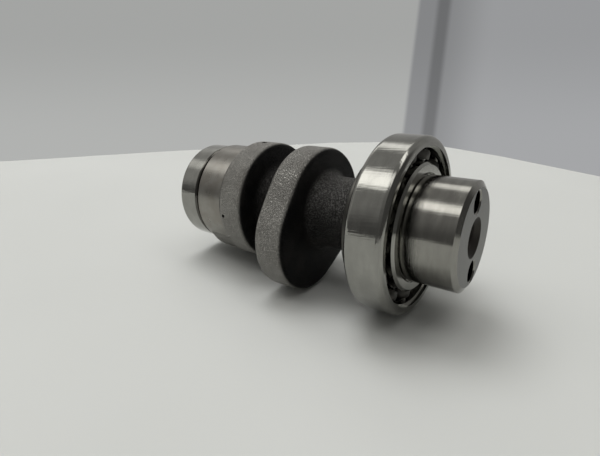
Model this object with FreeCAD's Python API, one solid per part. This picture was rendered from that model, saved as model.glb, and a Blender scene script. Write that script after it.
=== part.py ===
import FreeCAD, Part
import math
import os

# Camshaft of a small engine with its two ball bearings, lying as it rests.
# The shaft axis is X and the boss that carries the timing wheel points to +X.
# The origin is on the axis, in the middle of the front bearing. Lengths are in mm.

# Front bearing, 25 x 42 x 9
front_bore = 25.0
front_outside = 42.0
front_width = 9.0
front_ball = 4.762
front_balls = 13
front_race_depth = 0.85
front_corner = 1.4
front_mouth_recess = 0.50
front_mouth_depth = 1.0
front_bore_chamfer = 0.46
front_cage_width = 2.1
front_cage_sheet = 0.5
front_rivet = 0.9
front_ball_angle = 69.8

# Rear bearing, 15 x 28 x 7
rear_bore = 15.0
rear_outside = 28.0
rear_width = 7.0
rear_ball = 3.969
rear_balls = 10
rear_race_depth = 0.62
rear_corner = 0.70
rear_mouth_recess = 0.35
rear_mouth_depth = 0.8
rear_bore_chamfer = 0.4
rear_cage_width = 1.9
rear_cage_sheet = 0.4
rear_rivet = 0.7
rear_ball_angle = 90.0

# What both bearings share
ball_clearance = 0.05
pocket_clearance = 0.10
race_conformity = 0.52
land_chamfer = 0.55
rivet_head_ratio = 1.7
rivet_dome = 0.3

# Boss in front of the front bearing, and the groove that parts it from the seat
boss_diameter = 24.94
boss_length = 11.8
boss_chamfer_radial = 1.4
boss_chamfer_axial = 0.8
seat_groove_depth = 0.25
seat_groove_inside = 0.4
seat_groove_outside = 0.3
bolt_hole = 6.8
bolt_hole_depth = 22.0
bolt_countersink = 9.3
dowel_hole = 5.0
dowel_hole_depth = 9.0
dowel_chamfer = 0.3
dowel_circle = 16.4
dowel_angle = 92.3

# Collar and neck behind the front bearing
collar_diameter = 32.6
collar_length = 3.0
collar_chamfer = 0.3
neck_diameter = 18.6
neck_length = 13.8
waist_diameter = 19.4
neck_fillet = 2.2
lobe_fillet = 2.4

# Cam lobes: base circle, nose arc, lift, and a slightly bulging flank
base_diameter = 32.6
nose_radius = 14.5
cam_lift = 6.1
flank_radius = 90.0
front_lobe_width = 8.6
rear_lobe_width = 8.3
lobe_gap = 7.7
lobe_edge = 1.5
front_nose_angle = -141.0
lobe_separation = 110.7

# Small drilled holes on the base circle of the rear lobe
top_hole = 1.6
top_hole_inset = 3.6
top_hole_angle = 88.0
side_hole = 0.9
side_hole_inset = 1.85
side_hole_angle = 182.0
small_hole_depth = 3.0

# Ground journal with the slope up to the rear lobe, the shoulder and tail behind it
journal_diameter = 29.0
journal_length = 10.05
journal_chamfer = 0.35
blend_length = 1.3
blend_rise = 1.4
blend_inside = 0.75
shoulder_diameter = 18.2
shoulder_length = 1.0
tail_stub = 0.75
tail_chamfer = 0.5
centre_hole = 3.2
centre_pilot = 1.6
centre_pilot_depth = 4.0

# Cast swell under the journal, an eccentric round behind the rear lobe
swell_radius = 13.2
swell_offset = 3.2
swell_length = 9.5
swell_edge = 1.5
swell_angle = -88.0

drill_point = math.radians(59.0)
centre_cone = math.radians(30.0)

# Stations along the axis, from the boss to the tail
front_face = front_width / 2
front_back = -front_width / 2
boss_end = front_face + boss_length
collar_back = front_back - collar_length
front_lobe_near = collar_back - neck_length
front_lobe_far = front_lobe_near - front_lobe_width
rear_lobe_near = front_lobe_far - lobe_gap
rear_lobe_far = rear_lobe_near - rear_lobe_width
journal_back = rear_lobe_far - journal_length
rear_near = journal_back - shoulder_length
rear_middle = rear_near - rear_width / 2
rear_far = rear_near - rear_width
tail_end = rear_far - tail_stub

os.makedirs("parts", exist_ok=True)
axis_start = FreeCAD.Vector(0, 0, 0)
axis_x = FreeCAD.Vector(1, 0, 0)


def write(name, shape):
    shape.exportStep("parts/" + name + ".step")


def around(shape, degrees):
    """A copy turned about the shaft axis."""
    copy = shape.copy()
    copy.rotate(axis_start, axis_x, degrees)
    return copy


def along(shape, distance):
    """A copy moved along the shaft axis."""
    copy = shape.copy()
    copy.translate(FreeCAD.Vector(distance, 0, 0))
    return copy


class Outline:
    """A closed half section, drawn as distance along the axis and radius."""

    def __init__(self, x, r):
        self.first = FreeCAD.Vector(x, 0, r)
        self.last = self.first
        self.edges = []

    def line(self, x, r):
        end = FreeCAD.Vector(x, 0, r)
        self.edges.append(Part.LineSegment(self.last, end).toShape())
        self.last = end

    def arc(self, middle_x, middle_r, x, r):
        middle = FreeCAD.Vector(middle_x, 0, middle_r)
        end = FreeCAD.Vector(x, 0, r)
        self.edges.append(Part.Arc(self.last, middle, end).toShape())
        self.last = end

    def rounded(self, centre_x, centre_r, x, r):
        """A quarter round about the given centre, from where the outline stands."""
        centre = FreeCAD.Vector(centre_x, 0, centre_r)
        start = self.last - centre
        halfway = start + FreeCAD.Vector(x, 0, r) - centre
        halfway.normalize()
        middle = centre + halfway * start.Length
        self.arc(middle.x, middle.z, x, r)

    def turned(self):
        self.line(self.first.x, self.first.z)
        face = Part.Face(Part.Wire(self.edges))
        return face.revolve(axis_start, axis_x, 360)


class Bearing:
    """Radii and widths of one deep groove ball bearing, from its driving sizes."""

    def __init__(self, bore, outside, width, ball, balls, race_depth, corner, mouth_recess,
                 mouth_depth, bore_chamfer, cage_width, sheet, rivet, ball_angle, middle):
        self.bore_r = bore / 2
        self.outside_r = outside / 2
        self.half = width / 2
        self.ball_r = ball / 2
        self.pitch_r = (self.bore_r + self.outside_r) / 2
        self.groove_r = race_conformity * ball
        self.inner_bottom = self.pitch_r - self.ball_r - ball_clearance
        self.outer_bottom = self.pitch_r + self.ball_r + ball_clearance
        self.inner_land = self.inner_bottom + race_depth
        self.outer_land = self.outer_bottom - race_depth
        self.corner = corner
        self.mouth_r = self.outer_land + mouth_recess
        self.mouth_depth = mouth_depth
        self.bore_chamfer = bore_chamfer
        self.cage_in = self.pitch_r - cage_width / 2
        self.cage_out = self.pitch_r + cage_width / 2
        self.sheet = sheet
        self.rivet_r = rivet / 2
        self.middle = middle
        self.step = 360.0 / balls
        self.angles = [ball_angle + self.step * i for i in range(balls)]

    def inner_ring(self):
        """Inner ring with its ball groove and chamfered edges."""
        land = self.inner_land
        centre = self.inner_bottom + self.groove_r
        reach = math.sqrt(self.groove_r ** 2 - (centre - land) ** 2)
        ring = Outline(-self.half, self.bore_r + self.bore_chamfer)
        ring.line(-self.half + self.bore_chamfer, self.bore_r)
        ring.line(self.half - self.bore_chamfer, self.bore_r)
        ring.line(self.half, self.bore_r + self.bore_chamfer)
        ring.line(self.half, land - land_chamfer)
        ring.line(self.half - land_chamfer, land)
        ring.line(reach, land)
        ring.arc(0, self.inner_bottom, -reach, land)
        ring.line(-self.half + land_chamfer, land)
        ring.line(-self.half, land - land_chamfer)
        return along(ring.turned(), self.middle)

    def outer_ring(self):
        """Outer ring with its ball groove, stepped mouths and rounded corners."""
        land = self.outer_land
        centre = self.outer_bottom - self.groove_r
        reach = math.sqrt(self.groove_r ** 2 - (land - centre) ** 2)
        step = self.half - self.mouth_depth
        flat = self.half - self.corner
        top = self.outside_r - self.corner
        ring = Outline(-self.half, self.mouth_r)
        ring.line(-step, self.mouth_r)
        ring.line(-step, land)
        ring.line(-reach, land)
        ring.arc(0, self.outer_bottom, reach, land)
        ring.line(step, land)
        ring.line(step, self.mouth_r)
        ring.line(self.half, self.mouth_r)
        ring.line(self.half, top)
        ring.rounded(flat, top, flat, self.outside_r)
        ring.line(-flat, self.outside_r)
        ring.rounded(-flat, top, -self.half, top)
        return along(ring.turned(), self.middle)

    def placed(self, shape, degrees):
        """A piece made on the axis, moved out to the pitch circle and turned to its place."""
        copy = shape.copy()
        copy.translate(FreeCAD.Vector(self.middle, self.pitch_r, 0))
        return around(copy, degrees)

    def ball(self, degrees):
        return self.placed(Part.makeSphere(self.ball_r), degrees)

    def cage_half(self, side):
        """One pressed half of the cage: flat webs and a round pocket over each ball."""
        pocket_in = self.ball_r + pocket_clearance
        pocket_out = pocket_in + self.sheet
        sideways = axis_x * side
        start = FreeCAD.Vector(self.middle, 0, 0)
        web = Part.makeCylinder(self.cage_out, self.sheet, start, sideways)
        sleeve = Part.makeCylinder(self.cage_out, pocket_out, start, sideways)
        hollow = Part.makeCylinder(self.cage_in, pocket_out, start, sideways)
        domes = [self.placed(Part.makeSphere(pocket_out), a) for a in self.angles]
        pockets = [self.placed(Part.makeSphere(pocket_in), a) for a in self.angles]
        shank = Part.makeCylinder(self.rivet_r, 2 * self.sheet, axis_start - axis_x * self.sheet, axis_x)
        holes = [self.placed(shank, a + self.step / 2) for a in self.angles]
        blank = web.fuse(domes).common(sleeve.cut(hollow))
        return blank.cut(pockets + holes).removeSplitter()

    def rivets(self):
        """The rivets that close the cage, one between each pair of balls."""
        head = self.rivet_r * rivet_head_ratio
        tip = self.sheet + rivet_dome
        dome = (head ** 2 + rivet_dome ** 2) / (2 * rivet_dome)
        half_turn = math.asin(head / dome) / 2
        shoulder = tip - dome + dome * math.cos(half_turn)
        shoulder_r = dome * math.sin(half_turn)
        body = Outline(-tip, 0)
        body.arc(-shoulder, shoulder_r, -self.sheet, head)
        body.line(-self.sheet, self.rivet_r)
        body.line(self.sheet, self.rivet_r)
        body.line(self.sheet, head)
        body.arc(shoulder, shoulder_r, tip, 0)
        one = body.turned()
        return Part.makeCompound([self.placed(one, a + self.step / 2) for a in self.angles])


front = Bearing(front_bore, front_outside, front_width, front_ball, front_balls,
                front_race_depth, front_corner, front_mouth_recess, front_mouth_depth,
                front_bore_chamfer, front_cage_width, front_cage_sheet, front_rivet,
                front_ball_angle, 0.0)
rear = Bearing(rear_bore, rear_outside, rear_width, rear_ball, rear_balls,
               rear_race_depth, rear_corner, rear_mouth_recess, rear_mouth_depth,
               rear_bore_chamfer, rear_cage_width, rear_cage_sheet, rear_rivet,
               rear_ball_angle, rear_middle)


def turned_shaft():
    """Everything on the shaft that is round about its axis, from tail to boss."""
    tail_r = rear_bore / 2
    shoulder_r = shoulder_diameter / 2
    journal_r = journal_diameter / 2
    waist_r = waist_diameter / 2
    neck_r = neck_diameter / 2
    collar_r = collar_diameter / 2
    seat_r = front_bore / 2
    boss_r = boss_diameter / 2
    shaft = Outline(tail_end, 0)
    shaft.line(tail_end, tail_r - tail_chamfer)
    shaft.line(tail_end + tail_chamfer, tail_r)
    shaft.line(rear_near, tail_r)
    shaft.line(rear_near, shoulder_r)
    shaft.line(journal_back, shoulder_r)
    shaft.line(journal_back, journal_r - journal_chamfer)
    shaft.line(journal_back + journal_chamfer, journal_r)
    shaft.line(rear_lobe_far - blend_length, journal_r)
    shaft.line(rear_lobe_far + blend_inside, journal_r + blend_rise)
    shaft.line(rear_lobe_near, waist_r + lobe_fillet)
    shaft.rounded(rear_lobe_near + lobe_fillet, waist_r + lobe_fillet,
                  rear_lobe_near + lobe_fillet, waist_r)
    shaft.line(front_lobe_far - lobe_fillet, waist_r)
    shaft.rounded(front_lobe_far - lobe_fillet, waist_r + lobe_fillet,
                  front_lobe_far, waist_r + lobe_fillet)
    shaft.line(front_lobe_near, neck_r + lobe_fillet)
    shaft.rounded(front_lobe_near + lobe_fillet, neck_r + lobe_fillet,
                  front_lobe_near + lobe_fillet, neck_r)
    shaft.line(collar_back - neck_fillet, neck_r)
    shaft.rounded(collar_back - neck_fillet, neck_r + neck_fillet,
                  collar_back, neck_r + neck_fillet)
    shaft.line(collar_back, collar_r - collar_chamfer)
    shaft.line(collar_back + collar_chamfer, collar_r)
    shaft.line(front_back - collar_chamfer, collar_r)
    shaft.line(front_back, collar_r - collar_chamfer)
    shaft.line(front_back, seat_r)
    shaft.line(front_face - seat_groove_inside, seat_r)
    shaft.line(front_face - seat_groove_inside, seat_r - seat_groove_depth)
    shaft.line(front_face + seat_groove_outside, seat_r - seat_groove_depth)
    shaft.line(front_face + seat_groove_outside, boss_r)
    shaft.line(boss_end - boss_chamfer_axial, boss_r)
    shaft.line(boss_end, boss_r - boss_chamfer_radial)
    shaft.line(boss_end, 0)
    return shaft.turned()


def lobe(near, width, nose_angle):
    """A cam lobe: base circle, nose arc and two bulging flanks, tangent all round."""
    base_r = base_diameter / 2
    nose_x = base_r + cam_lift - nose_radius
    to_base = flank_radius - base_r
    to_nose = flank_radius - nose_radius
    flank_x = (nose_x ** 2 + to_base ** 2 - to_nose ** 2) / (2 * nose_x)
    flank_y = math.sqrt(to_base ** 2 - flank_x ** 2)

    def point(x, y):
        return FreeCAD.Vector(near - width, x, y)

    def flank_points(side):
        """Where the flank leaves the base circle, its middle, and where it meets the nose."""
        base_end = math.atan2(flank_y, -flank_x)
        nose_end = math.atan2(flank_y, nose_x - flank_x)
        middle = (base_end + nose_end) / 2
        leave = point(base_r * math.cos(base_end), side * base_r * math.sin(base_end))
        bulge = point(flank_x + flank_radius * math.cos(middle),
                      side * (flank_radius * math.sin(middle) - flank_y))
        meet = point(nose_x + nose_radius * math.cos(nose_end),
                     side * nose_radius * math.sin(nose_end))
        return leave, bulge, meet

    leave_a, bulge_a, meet_a = flank_points(1)
    leave_b, bulge_b, meet_b = flank_points(-1)
    tip = point(base_r + cam_lift, 0)
    heel = point(-base_r, 0)
    outline = Part.Wire([
        Part.Arc(leave_a, bulge_a, meet_a).toShape(),
        Part.Arc(meet_a, tip, meet_b).toShape(),
        Part.Arc(meet_b, bulge_b, leave_b).toShape(),
        Part.Arc(leave_b, heel, leave_a).toShape(),
    ])
    blank = Part.Face(outline).extrude(axis_x * width)
    rims = [e for e in blank.Edges if e.BoundBox.XLength < width / 2]
    return around(blank.makeFillet(lobe_edge, rims), nose_angle)


def swell():
    """The cast swell that stands out of the underside of the journal."""
    start = FreeCAD.Vector(rear_lobe_far - swell_length, swell_offset, 0)
    blank = Part.makeCylinder(swell_radius, swell_length + lobe_edge, start, axis_x)
    rim = [e for e in blank.Edges if e.BoundBox.XMax < rear_lobe_far - swell_length / 2]
    return around(blank.makeFillet(swell_edge, rim), swell_angle)


def drilled(radius, depth, chamfer):
    """A blind hole from the origin towards -X, with its mouth chamfer and drill point."""
    hole = Outline(chamfer, 0)
    hole.line(chamfer, radius + 2 * chamfer)
    hole.line(-chamfer, radius)
    hole.line(-depth, radius)
    hole.line(-depth - radius / math.tan(drill_point), 0)
    return hole.turned()


def boss_holes():
    """The tapped centre hole and the two dowel holes in the end of the boss."""
    sink = bolt_countersink / 2 - bolt_hole / 2
    centre = along(drilled(bolt_hole / 2, bolt_hole_depth, sink), boss_end)
    dowel = drilled(dowel_hole / 2, dowel_hole_depth, dowel_chamfer)
    dowel.translate(FreeCAD.Vector(boss_end, dowel_circle / 2, 0))
    return [centre, around(dowel, dowel_angle), around(dowel, dowel_angle + 180)]


def small_hole(diameter, inset, degrees):
    """A hole drilled down into the base circle of the rear lobe."""
    start = FreeCAD.Vector(rear_lobe_far + inset, base_diameter / 2 + diameter, 0)
    depth = small_hole_depth + diameter
    return around(Part.makeCylinder(diameter / 2, depth, start, FreeCAD.Vector(0, -1, 0)), degrees)


def tail_centre():
    """The centre hole that the tail was ground on."""
    mouth = centre_hole / 2
    pilot = centre_pilot / 2
    cone = (mouth - pilot) / math.tan(centre_cone)
    hole = Outline(tail_end, 0)
    hole.line(tail_end, mouth)
    hole.line(tail_end + cone, pilot)
    hole.line(tail_end + centre_pilot_depth, pilot)
    hole.line(tail_end + centre_pilot_depth + pilot / math.tan(drill_point), 0)
    return hole.turned()


def camshaft():
    lobes = [lobe(front_lobe_near, front_lobe_width, front_nose_angle),
             lobe(rear_lobe_near, rear_lobe_width, front_nose_angle + lobe_separation)]
    body = turned_shaft().fuse(lobes + [swell()]).removeSplitter()
    cuts = boss_holes()
    cuts.append(small_hole(top_hole, top_hole_inset, top_hole_angle))
    cuts.append(small_hole(side_hole, side_hole_inset, side_hole_angle))
    cuts.append(tail_centre())
    return body.cut(cuts)


def bearing_pieces(name, bearing):
    write(name + "_inner_ring", bearing.inner_ring())
    write(name + "_outer_ring", bearing.outer_ring())
    write(name + "_cage_near_half", bearing.cage_half(1))
    write(name + "_cage_far_half", bearing.cage_half(-1))
    write(name + "_cage_rivets", bearing.rivets())
    for number, degrees in enumerate(bearing.angles, start=1):
        write(name + "_ball_" + str(number), bearing.ball(degrees))


write("camshaft", camshaft())
bearing_pieces("front", front)
bearing_pieces("rear", rear)
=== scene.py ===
import bpy
import math
from mathutils import Matrix, Vector

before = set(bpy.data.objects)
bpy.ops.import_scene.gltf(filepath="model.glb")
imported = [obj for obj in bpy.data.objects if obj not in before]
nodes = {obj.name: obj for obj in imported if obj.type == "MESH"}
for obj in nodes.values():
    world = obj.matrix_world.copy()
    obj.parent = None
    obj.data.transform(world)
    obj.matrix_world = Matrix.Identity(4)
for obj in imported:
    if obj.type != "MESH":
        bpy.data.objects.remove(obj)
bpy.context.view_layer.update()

# Camera: it stands beside the boss, a little higher than the front bearing,
# and looks back towards the tail.
camera_place = Vector((0.039042, -0.09136, 0.037709))
view_right = Vector((0.80352, 0.59368, -0.04369))
view_up = Vector((-0.18226, 0.31523, 0.93135))
view_back = view_right.cross(view_up)
camera = bpy.data.objects.new("camera", bpy.data.cameras.new("camera"))
camera.data.sensor_width = 36.0
camera.data.lens = 26.22
camera.data.clip_start = 0.005
camera.data.clip_end = 20.0
turn = Matrix((view_right, view_up, view_back)).transposed().to_4x4()
camera.matrix_world = Matrix.Translation(camera_place) @ turn
bpy.context.scene.collection.objects.link(camera)
bpy.context.scene.camera = camera

# Camshaft: one iron casting. Boss, bearing seats, collar, journal and tail are turned and ground bright;
# the lobes keep a grainy blasted skin, and the neck and waist stay as they left the mould.
boss_end = 0.0163
collar_front = -0.0050
collar_back = -0.0075
behind_collar = -0.0110
behind_lobes = -0.0405
ground_start = -0.04705
ground_radius = 0.01465
thread_radius = 0.00355
bolt_sink_radius = 0.00465
past_bolt_hole = -0.0085
thread_pitch = 0.00125
thread_depth = 0.0004
grain_depth = 0.00015
mark_depth = 0.000016
chatter_depth = 0.000010


def put(tree, kind, inputs=(), **settings):
    """Add a node, set it up, and link or set its inputs."""
    made = tree.nodes.new(kind)
    for name, value in settings.items():
        setattr(made, name, value)
    for socket, value in dict(inputs).items():
        if isinstance(value, bpy.types.NodeSocket):
            tree.links.new(value, made.inputs[socket])
        else:
            made.inputs[socket].default_value = value
    return made


def maths(tree, operation, *values):
    """One Math node; values are numbers or sockets."""
    return put(tree, "ShaderNodeMath", dict(enumerate(values)), operation=operation).outputs[0]


def ease(tree, value, start, end, first=0.0, last=1.0):
    """Goes smoothly from first to last while the value goes from start to end."""
    return put(tree, "ShaderNodeMapRange", {0: value, 1: start, 2: end, 3: first, 4: last},
               interpolation_type="SMOOTHSTEP").outputs[0]


def above(tree, value, edge, soft):
    """1 where the value is over the edge and 0 where it is under it, eased by soft on each side."""
    return ease(tree, value, edge - soft, edge + soft)


def below(tree, value, edge, soft):
    """1 where the value is under the edge and 0 where it is over it, eased by soft on each side."""
    return ease(tree, value, edge + soft, edge - soft)


def between(tree, value, start, end, soft):
    """1 where the value lies between start and end, eased by soft on each side of both."""
    return maths(tree, "MULTIPLY", above(tree, value, start, soft), below(tree, value, end, soft))


def blend_colour(tree, share, one, other, mode="MIX"):
    """Mix two colours, each a tuple or a socket, by a share."""
    return put(tree, "ShaderNodeMix", {0: share, 6: one, 7: other},
               data_type="RGBA", blend_type=mode).outputs[2]


def blend_value(tree, share, one, other):
    """Mix two values, each a number or a socket, by a share."""
    return put(tree, "ShaderNodeMix", {0: share, 2: one, 3: other}).outputs[0]


def noise(tree, place, scale, detail, roughness=0.5):
    """Cloudy noise between 0 and 1 at a place."""
    return put(tree, "ShaderNodeTexNoise", {
        "Vector": place, "Scale": scale, "Detail": detail, "Roughness": roughness}).outputs[0]


def bump(tree, height, depth, strength=1.0, under=None):
    """Normal of a surface with small relief, on top of the relief under it if there is any."""
    inputs = {"Height": height, "Distance": depth, "Strength": strength}
    if under is not None:
        inputs["Normal"] = under
    return put(tree, "ShaderNodeBump", inputs).outputs[0]


def new_group(name, inputs, outputs):
    """A shader node group; inputs are pairs of name and value, outputs are names, all plain numbers."""
    tree = bpy.data.node_groups.new(name, "ShaderNodeTree")
    for title, value in inputs:
        tree.interface.new_socket(title, in_out="INPUT", socket_type="NodeSocketFloat").default_value = value
    for title in outputs:
        tree.interface.new_socket(title, in_out="OUTPUT", socket_type="NodeSocketFloat")
    return tree, tree.nodes.new("NodeGroupInput").outputs, tree.nodes.new("NodeGroupOutput").inputs


def place_group(tree, group, **values):
    """Put a group in a material and link or set its inputs."""
    made = tree.nodes.new("ShaderNodeGroup")
    made.node_tree = group
    for name, value in values.items():
        if isinstance(value, bpy.types.NodeSocket):
            tree.links.new(value, made.inputs[name])
        else:
            made.inputs[name].default_value = value
    return made.outputs


def new_material(name):
    """An empty material with its node tree and its shader's inputs."""
    made = bpy.data.materials.new(name)
    made.use_nodes = True
    return made, made.node_tree, made.node_tree.nodes["Principled BSDF"].inputs


def dress(names, material):
    """Give the named pieces one material."""
    for name in names:
        nodes[name].data.materials.clear()
        nodes[name].data.materials.append(material)


def about_the_shaft():
    """Distance along the shaft, radius and angle about it, and how far a face looks along it."""
    tree, _, out = new_group("about_the_shaft", (), ("Along", "Radius", "Angle", "Facing"))
    place = put(tree, "ShaderNodeTexCoord").outputs["Object"]
    x, y, z = put(tree, "ShaderNodeSeparateXYZ", {0: place}).outputs
    radius = maths(tree, "SQRT", maths(tree, "ADD", maths(tree, "MULTIPLY", y, y),
                                       maths(tree, "MULTIPLY", z, z)))
    normal = put(tree, "ShaderNodeNewGeometry").outputs["True Normal"]
    tree.links.new(x, out["Along"])
    tree.links.new(radius, out["Radius"])
    tree.links.new(maths(tree, "ARCTAN2", z, y), out["Angle"])
    tree.links.new(maths(tree, "ABSOLUTE", put(tree, "ShaderNodeSeparateXYZ", {0: normal}).outputs[0]),
                   out["Facing"])
    return tree


def tool_marks():
    """Rings left by turning and grinding: noise that changes fast across the cut and hardly round it.

    Spacing is the distance between marks in metres and Length how far one runs round, in radians.
    Patches are wider bands of the same, and Chatter is a fine ripple round the shaft."""
    patch_share = 0.07
    ripple_spacing = 0.00045
    ripple_length = 0.006
    ripple_slope = 0.08
    tree, given, out = new_group(
        "tool_marks",
        (("Along", 0.0), ("Radius", 0.0), ("Angle", 0.0), ("Facing", 0.0),
         ("Spacing", 0.0002), ("Length", 0.3)),
        ("Marks", "Patches", "Chatter"))
    across = blend_value(tree, ease(tree, given["Facing"], 0.5, 0.8), given["Along"], given["Radius"])
    step = maths(tree, "DIVIDE", across, given["Spacing"])
    turn_x = maths(tree, "DIVIDE", maths(tree, "COSINE", given["Angle"]), given["Length"])
    turn_y = maths(tree, "DIVIDE", maths(tree, "SINE", given["Angle"]), given["Length"])
    fine = put(tree, "ShaderNodeCombineXYZ", {0: step, 1: turn_x, 2: turn_y}).outputs[0]
    wide_step = maths(tree, "MULTIPLY", step, patch_share)
    wide = put(tree, "ShaderNodeCombineXYZ", {0: wide_step, 1: turn_x, 2: turn_y}).outputs[0]
    swept = maths(tree, "MULTIPLY", given["Angle"], given["Radius"])
    skewed = maths(tree, "MULTIPLY_ADD", given["Along"], ripple_slope, swept)
    ripples = put(tree, "ShaderNodeCombineXYZ", {
        0: maths(tree, "DIVIDE", skewed, ripple_spacing),
        1: maths(tree, "DIVIDE", given["Along"], ripple_length)}).outputs[0]
    tree.links.new(noise(tree, fine, 1.0, 3.0, 0.6), out["Marks"])
    tree.links.new(noise(tree, wide, 1.0, 4.0, 0.55), out["Patches"])
    tree.links.new(noise(tree, ripples, 1.0, 1.5), out["Chatter"])
    return tree


def cast_grain():
    """Blasted cast skin: crowded grains on slow waves, the grains' bright tips, and wide stains.

    Grain is the size of one grain in metres."""
    wave_share = 0.22
    stain_share = 0.06
    wave_height = 0.9
    tree, given, out = new_group("cast_grain", (("Grain", 0.0004),), ("Height", "Tips", "Cloud"))
    place = put(tree, "ShaderNodeTexCoord").outputs["Object"]
    scale = maths(tree, "DIVIDE", 1.0, given["Grain"])
    grit = noise(tree, place, scale, 2.5, 0.7)
    waves = noise(tree, place, maths(tree, "MULTIPLY", scale, wave_share), 2.0)
    stains = noise(tree, place, maths(tree, "MULTIPLY", scale, stain_share), 4.0)
    height = maths(tree, "MULTIPLY_ADD", waves, wave_height, ease(tree, grit, 0.34, 0.66))
    tree.links.new(height, out["Height"])
    tree.links.new(ease(tree, grit, 0.45, 0.64), out["Tips"])
    tree.links.new(stains, out["Cloud"])
    return tree


shaft_place = about_the_shaft()
turned_rings = tool_marks()
iron_grain = cast_grain()


def cast_skin(tree, at, skin):
    """Colour, metal and roughness of the cast skin: grainy rims, lobe faces painted nearly black, a dark
    neck, and painted shade on the neck at the waist and underneath.
    """
    lobe_gap = (-0.031, -0.036)
    # The lobe faces' near-black colours are the dark cast skin with painted shade on top.
    shaded_face_dark = (0.002, 0.002, 0.002, 1)
    shaded_face_light = (0.008, 0.0078, 0.0074, 1)
    neck_dark = (0.040, 0.039, 0.037, 1)
    neck_light = (0.215, 0.210, 0.202, 1)
    rim_dark = (0.185, 0.180, 0.166, 1)
    rim_light = (0.43, 0.418, 0.385, 1)
    brown_stain = (0.085, 0.075, 0.066, 1)
    on_rim = maths(tree, "MULTIPLY", above(tree, at["Radius"], 0.0142, 0.0010),
                   ease(tree, at["Facing"], 0.80, 0.35))
    near_axis = ease(tree, at["Radius"], 0.0116, 0.0097)
    # Painted shade: the neck turns towards the near-black face colour at the waist between the lobes and on
    # its underside.
    painted_shade_at_waist = ease(tree, at["Along"], -0.027, -0.031, 1.0, 0.45)
    painted_shade_underneath = ease(tree, maths(tree, "SINE", at["Angle"]), -0.1, 0.8, 0.38, 1.0)
    on_neck = maths(tree, "MULTIPLY", maths(tree, "MULTIPLY", near_axis, painted_shade_at_waist), painted_shade_underneath)
    rim_tips = maths(tree, "MULTIPLY_ADD", ease(tree, at["Along"], *lobe_gap, 1.0, 0.6), skin["Tips"],
                     ease(tree, at["Along"], *lobe_gap, 0.0, 0.18))
    colour = blend_colour(tree, on_neck, blend_colour(tree, skin["Tips"], shaded_face_dark, shaded_face_light),
                          blend_colour(tree, skin["Tips"], neck_dark, neck_light))
    colour = blend_colour(tree, on_rim, colour, blend_colour(tree, rim_tips, rim_dark, rim_light))
    stained = maths(tree, "MULTIPLY", ease(tree, skin["Cloud"], 0.40, 0.70),
                    blend_value(tree, on_rim, 0.10, 0.30))
    metal = blend_value(tree, on_rim, 0.80, 0.62)
    rough = blend_value(tree, on_rim, 0.60, ease(tree, skin["Tips"], 0.0, 1.0, 0.44, 0.17))
    return blend_colour(tree, stained, colour, brown_stain), metal, rough


def ground_iron(tree, at, cut, cloud):
    """Colour and roughness where the casting is cut: bright boss, handled journal, dull end face, and a bolt
    hole painted nearly black as shade.
    """
    hole_mouth = boss_end - 0.0008
    hole_deep = boss_end - 0.0030
    iron_dark = (0.248, 0.243, 0.222, 1)
    iron_light = (0.308, 0.303, 0.277, 1)
    journal_tone = (0.29, 0.275, 0.25, 1)
    handled_stain = (0.19, 0.17, 0.147, 1)
    collar_shade = (0.30, 0.30, 0.30, 1)
    hole_painted_shade = (0.030, 0.026, 0.023, 1)
    end_face_shade = (0.61, 0.62, 0.655, 1)
    in_journal = below(tree, at["Along"], behind_lobes, 0.0005)
    handled = maths(tree, "MULTIPLY", in_journal, ease(tree, cloud, 0.42, 0.62, 0.0, 0.40))
    on_collar = between(tree, at["Along"], behind_collar, collar_front, 0.0002)
    in_hole = maths(tree, "MULTIPLY", below(tree, at["Radius"], bolt_sink_radius, 0.00005),
                    above(tree, at["Along"], past_bolt_hole, 0.0005))
    # Painted shade: the bolt hole and its countersink are painted nearly black, a little darker deeper in.
    painted_shade_share = maths(tree, "MULTIPLY", in_hole, ease(tree, at["Along"], hole_mouth, hole_deep, 0.90, 1.0))
    end_face = maths(tree, "MULTIPLY", ease(tree, at["Facing"], 0.9, 0.98),
                     ease(tree, at["Along"], boss_end - 0.0001, boss_end))
    patches = ease(tree, cut["Patches"], 0.3, 0.75)
    colour = blend_colour(tree, patches, iron_dark, iron_light)
    colour = blend_colour(tree, maths(tree, "MULTIPLY", in_journal, 0.5), colour, journal_tone)
    colour = blend_colour(tree, handled, colour, handled_stain)
    colour = blend_colour(tree, on_collar, colour, collar_shade, "MULTIPLY")
    colour = blend_colour(tree, painted_shade_share, colour, hole_painted_shade)
    colour = blend_colour(tree, end_face, colour, end_face_shade, "MULTIPLY")
    rough = blend_value(tree, in_journal, 0.10, 0.27)
    for part, part_rough in ((end_face, 0.40), (on_collar, 0.33), (in_hole, 0.55)):
        rough = blend_value(tree, part, rough, part_rough)
    return colour, maths(tree, "ADD", rough, ease(tree, cut["Patches"], 0.3, 0.8, 0.0, 0.07))


def bolt_thread(tree, at):
    """Height of the centre hole's thread, a zigzag along a helix, and where it is cut."""
    turns = maths(tree, "ADD", maths(tree, "DIVIDE", at["Along"], thread_pitch),
                  maths(tree, "DIVIDE", at["Angle"], 2 * math.pi))
    in_thread = maths(tree, "MULTIPLY", below(tree, at["Radius"], thread_radius, 0.00005),
                      above(tree, at["Along"], past_bolt_hole, 0.0005))
    return maths(tree, "PINGPONG", turns, 0.5), in_thread


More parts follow.
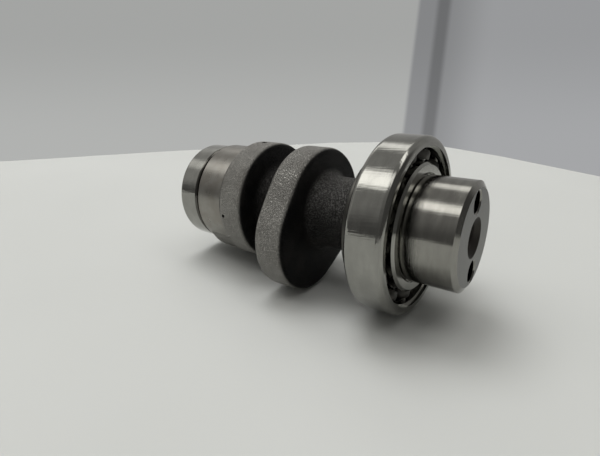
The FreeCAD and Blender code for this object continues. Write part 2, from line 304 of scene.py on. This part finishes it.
iron, tree, shader = new_material("cast_and_ground_iron")
at = place_group(tree, shaft_place)
cut = place_group(tree, turned_rings, Along=at["Along"], Radius=at["Radius"], Angle=at["Angle"],
                  Facing=at["Facing"], Spacing=0.00012, Length=0.5)
skin = place_group(tree, iron_grain, Grain=0.00030)
front_part = above(tree, at["Along"], collar_back, 0.0001)
journal_part = maths(tree, "MULTIPLY", below(tree, at["Along"], ground_start, 0.00025),
                     below(tree, at["Radius"], ground_radius, 0.00005))
machined = maths(tree, "MAXIMUM", front_part, journal_part)
skin_colour, skin_metal, skin_rough = cast_skin(tree, at, skin)
cut_colour, cut_rough = ground_iron(tree, at, cut, skin["Cloud"])
thread_height, in_thread = bolt_thread(tree, at)
tree.links.new(blend_colour(tree, machined, skin_colour, cut_colour), shader["Base Color"])
tree.links.new(blend_value(tree, machined, skin_metal, 1.0), shader["Metallic"])
tree.links.new(blend_value(tree, machined, skin_rough, cut_rough), shader["Roughness"])
relief = bump(tree, skin["Height"], grain_depth, maths(tree, "SUBTRACT", 1.0, machined))
relief = bump(tree, cut["Marks"], mark_depth, machined, relief)
relief = bump(tree, cut["Chatter"], chatter_depth, machined, relief)
relief = bump(tree, thread_height, thread_depth, in_thread, relief)
tree.links.new(relief, shader["Normal"])
dress(["camshaft"], iron)

# Rings of both ball bearings: hard bearing steel, ground all over after hardening.
# The inner rings are pressed on the shaft, and the outer rings turn. The rear ring's edge beside the journal
# is painted darker, as shade.
rear_ring_front = -0.05695
edge_shade_start = rear_ring_front - 0.000675
past_rear_ring = rear_ring_front + 0.0005
ring_dark = (0.268, 0.266, 0.246, 1)
ring_light = (0.328, 0.326, 0.301, 1)
edge_painted_shade = (0.35, 0.34, 0.33, 1)
ring_mark_depth = 0.000012
ring_chatter_depth = 0.000020
ring_steel, tree, shader = new_material("ground_bearing_steel")
at = place_group(tree, shaft_place)
cut = place_group(tree, turned_rings, Along=at["Along"], Radius=at["Radius"], Angle=at["Angle"],
                  Facing=at["Facing"], Spacing=0.00016, Length=0.22)
# Painted shade: the rear ring's front edge, beside the journal, is painted darker.
painted_shade_share = between(tree, at["Along"], edge_shade_start, past_rear_ring, 0.000125)
ring_colour = blend_colour(tree, ease(tree, cut["Patches"], 0.3, 0.75), ring_dark, ring_light)
ring_colour = blend_colour(tree, painted_shade_share, ring_colour, edge_painted_shade, "MULTIPLY")
tree.links.new(ring_colour, shader["Base Color"])
shader["Metallic"].default_value = 1.0
tree.links.new(ease(tree, cut["Patches"], 0.3, 0.8, 0.08, 0.14), shader["Roughness"])
relief = bump(tree, cut["Marks"], ring_mark_depth)
relief = bump(tree, cut["Chatter"], ring_chatter_depth, 1.0, relief)
tree.links.new(relief, shader["Normal"])
dress(["front_inner_ring", "front_outer_ring", "rear_inner_ring", "rear_outer_ring"], ring_steel)

# Ribbon cages and their rivets: two halves pressed from thin mild-steel strip,
# closed by small round-headed rivets between the balls.


def plain_steel(name, grain, dark, light, smooth, dull, depth):
    """Bright steel that is a little uneven in colour, roughness and level."""
    made, tree, shader = new_material(name)
    skin = place_group(tree, iron_grain, Grain=grain)
    cloud = ease(tree, skin["Cloud"], 0.3, 0.7)
    tree.links.new(blend_colour(tree, cloud, dark, light), shader["Base Color"])
    shader["Metallic"].default_value = 1.0
    tree.links.new(blend_value(tree, cloud, smooth, dull), shader["Roughness"])
    tree.links.new(bump(tree, skin["Height"], depth), shader["Normal"])
    return made


# The cages' near-black colours are painted shade, for the deep gap between the rings.
strip = plain_steel("pressed_steel_strip", grain=0.0003, dark=(0.06, 0.057, 0.052, 1),
                    light=(0.16, 0.155, 0.145, 1), smooth=0.40, dull=0.55, depth=0.000008)
dress([side + part for side in ("front", "rear")
       for part in ("_cage_near_half", "_cage_far_half", "_cage_rivets")], strip)

# Balls: hardened steel, lapped to a mirror, with a thin film of oil.
# They run between the grooves of the rings, each in its pocket of the cage.
ball_steel = plain_steel("lapped_ball_steel", grain=0.0006, dark=(0.48, 0.48, 0.47, 1),
                         light=(0.56, 0.555, 0.545, 1), smooth=0.06, dull=0.12, depth=0.0000004)
dress([name for name in nodes if "_ball_" in name], ball_steel)

# Table: a sheet of pale matt paper under the shaft, which ends at a pale wall behind it.
# The shaft leans on it, on the front bearing and the two lobes.
lowest_x = -0.0031
lowest_z = -0.0210
table_slope = 0.0604
wall_foot = ((-0.87, -0.62), (-0.2285, 0.0027), (-0.1823, 0.0655), (-0.1162, 0.1477), (-0.0736, 0.1846),
             (-0.0189, 0.1777), (0.029, 0.1649), (1.2, -0.15))
near_corner = (1.2, -0.62)
paper_dark = (0.580, 0.590, 0.570, 1)
paper_light = (0.630, 0.640, 0.620, 1)
corners = [(x, y, lowest_z - table_slope * (x - lowest_x)) for x, y in (*wall_foot, near_corner)]
paper = bpy.data.meshes.new("table")
paper.from_pydata(corners, [], [list(range(len(corners)))[::-1]])
table = bpy.data.objects.new("table", paper)
bpy.context.scene.collection.objects.link(table)
matt_paper, tree, shader = new_material("pale_paper")
cloud = noise(tree, put(tree, "ShaderNodeTexCoord").outputs["Object"], 12.0, 2.0)
tree.links.new(blend_colour(tree, cloud, paper_dark, paper_light), shader["Base Color"])
shader["Roughness"].default_value = 0.9
shader["Specular IOR Level"].default_value = 0.1
paper.materials.append(matt_paper)

# Light: a pale room with two long windows above and behind, darker towards the camera.
# A level of 1 is plain white, and angles are in degrees from behind, over the top.
window_edge = 5.0
camera_side = 172
camera_side_level = 0.13
past_boss_level = 0.105
past_tail_level = 0.33
room_tint = (1.01, 1.0, 0.975, 1)
room = bpy.data.worlds.new("room")
bpy.context.scene.world = room
room.use_nodes = True
tree = room.node_tree
tree.nodes.clear()
direction = put(tree, "ShaderNodeTexCoord").outputs["Generated"]
x, y, z = put(tree, "ShaderNodeSeparateXYZ", {0: direction}).outputs
around = maths(tree, "MULTIPLY", maths(tree, "ARCTAN2", z, y), 180 / math.pi)


def room_light(walls, dim_from, *windows):
    """Light level round the shaft: walls that darken from an angle on towards the camera,
    and windows, each with its start, its end and the light that it adds."""
    level = ease(tree, around, dim_from, camera_side, walls, camera_side_level)
    for start, end, added in windows:
        level = maths(tree, "MULTIPLY_ADD", between(tree, around, start, end, window_edge), added, level)
    return level


room_level = room_light(0.36, 112, (46, 62, 1.5), (102, 120, 2.0))
for start, end, light in (
        (-0.32, -0.44, room_light(0.38, 138, (43, 56, 1.6), (95, 119, 2.4))),
        (-0.61, -0.75, room_light(0.48, 142, (35, 60, 0.10), (88, 112, 0.5))),
        (-0.20, 0.04, room_light(0.34, 112, (64, 81, 2.1), (99, 115, 1.6)))):
    room_level = blend_value(tree, ease(tree, x, start, end), room_level, light)
past_window = maths(tree, "MULTIPLY", ease(tree, x, 0.40, 0.50), above(tree, around, 88.8, 4.0))
past_boss = maths(tree, "MAXIMUM", past_window, ease(tree, x, 0.48, 0.72))
room_level = blend_value(tree, past_boss, room_level, past_boss_level)
room_level = blend_value(tree, ease(tree, x, -0.78, -0.90), room_level, past_tail_level)
lit = put(tree, "ShaderNodeBackground", {"Color": room_tint, "Strength": room_level})

# Backdrop: the pale wall that the camera sees, which folds away at the right, with its shading painted on.
# Its places are across and up the view, as shares of the distance ahead.
wall_before_fold = 0.375
fold_start = 0.209
crease = (0.252, 0.281)
crease_painted_shade = -0.085
wall_tint = (0.985, 1.0, 0.98, 1)
wall_tint_past_fold = (0.985, 1.0, 1.025, 1)


def along_view(axis):
    """How far the seen direction lies along one of the view's axes."""
    parts = [maths(tree, "MULTIPLY", part, share) for part, share in zip((x, y, z), axis)]
    return maths(tree, "ADD", maths(tree, "ADD", parts[0], parts[1]), parts[2])


ahead = along_view(-view_back)
seen_across = maths(tree, "DIVIDE", along_view(view_right), ahead)
seen_up = maths(tree, "DIVIDE", along_view(view_up), ahead)
fold_place = maths(tree, "MULTIPLY_ADD", seen_up, -0.125, seen_across)
# Painted shading of the wall: darker past the fold, a painted shade line in the crease, and painted light
# towards the floor.
past_fold = above(tree, fold_place, fold_start, 0.006)
wall_level = blend_value(tree, past_fold, wall_before_fold, ease(tree, fold_place, 0.27, 0.39, 0.235, 0.320))
wall_level = maths(tree, "MULTIPLY_ADD", between(tree, fold_place, *crease, 0.008), crease_painted_shade, wall_level)
wall_level = maths(tree, "MULTIPLY", wall_level, ease(tree, seen_up, 0.46, 0.19, 1.0, 1.19))
shown = put(tree, "ShaderNodeBackground", {
    "Color": blend_colour(tree, past_fold, wall_tint, wall_tint_past_fold), "Strength": wall_level})
seen = put(tree, "ShaderNodeLightPath").outputs["Is Camera Ray"]
both = put(tree, "ShaderNodeMixShader", {0: seen, 1: lit.outputs[0], 2: shown.outputs[0]})
put(tree, "ShaderNodeOutputWorld", {0: both.outputs[0]})

# Lamp: one wide soft disk high above the tail, which gives the shadow.
# Polished steel doesn't mirror it, because the room's windows stand for it there.
soft = bpy.data.lights.new("soft_lamp", "AREA")
soft.shape = "DISK"
soft.size = 0.50
soft.energy = 4.1
lamp = bpy.data.objects.new("soft_lamp", soft)
lamp.location = (-0.31, 0.10, 0.95)
lamp.rotation_euler = (-lamp.location).to_track_quat("-Z", "Y").to_euler()
lamp.visible_glossy = False
bpy.context.scene.collection.objects.link(lamp)

bpy.context.scene.view_settings.view_transform = "Standard"
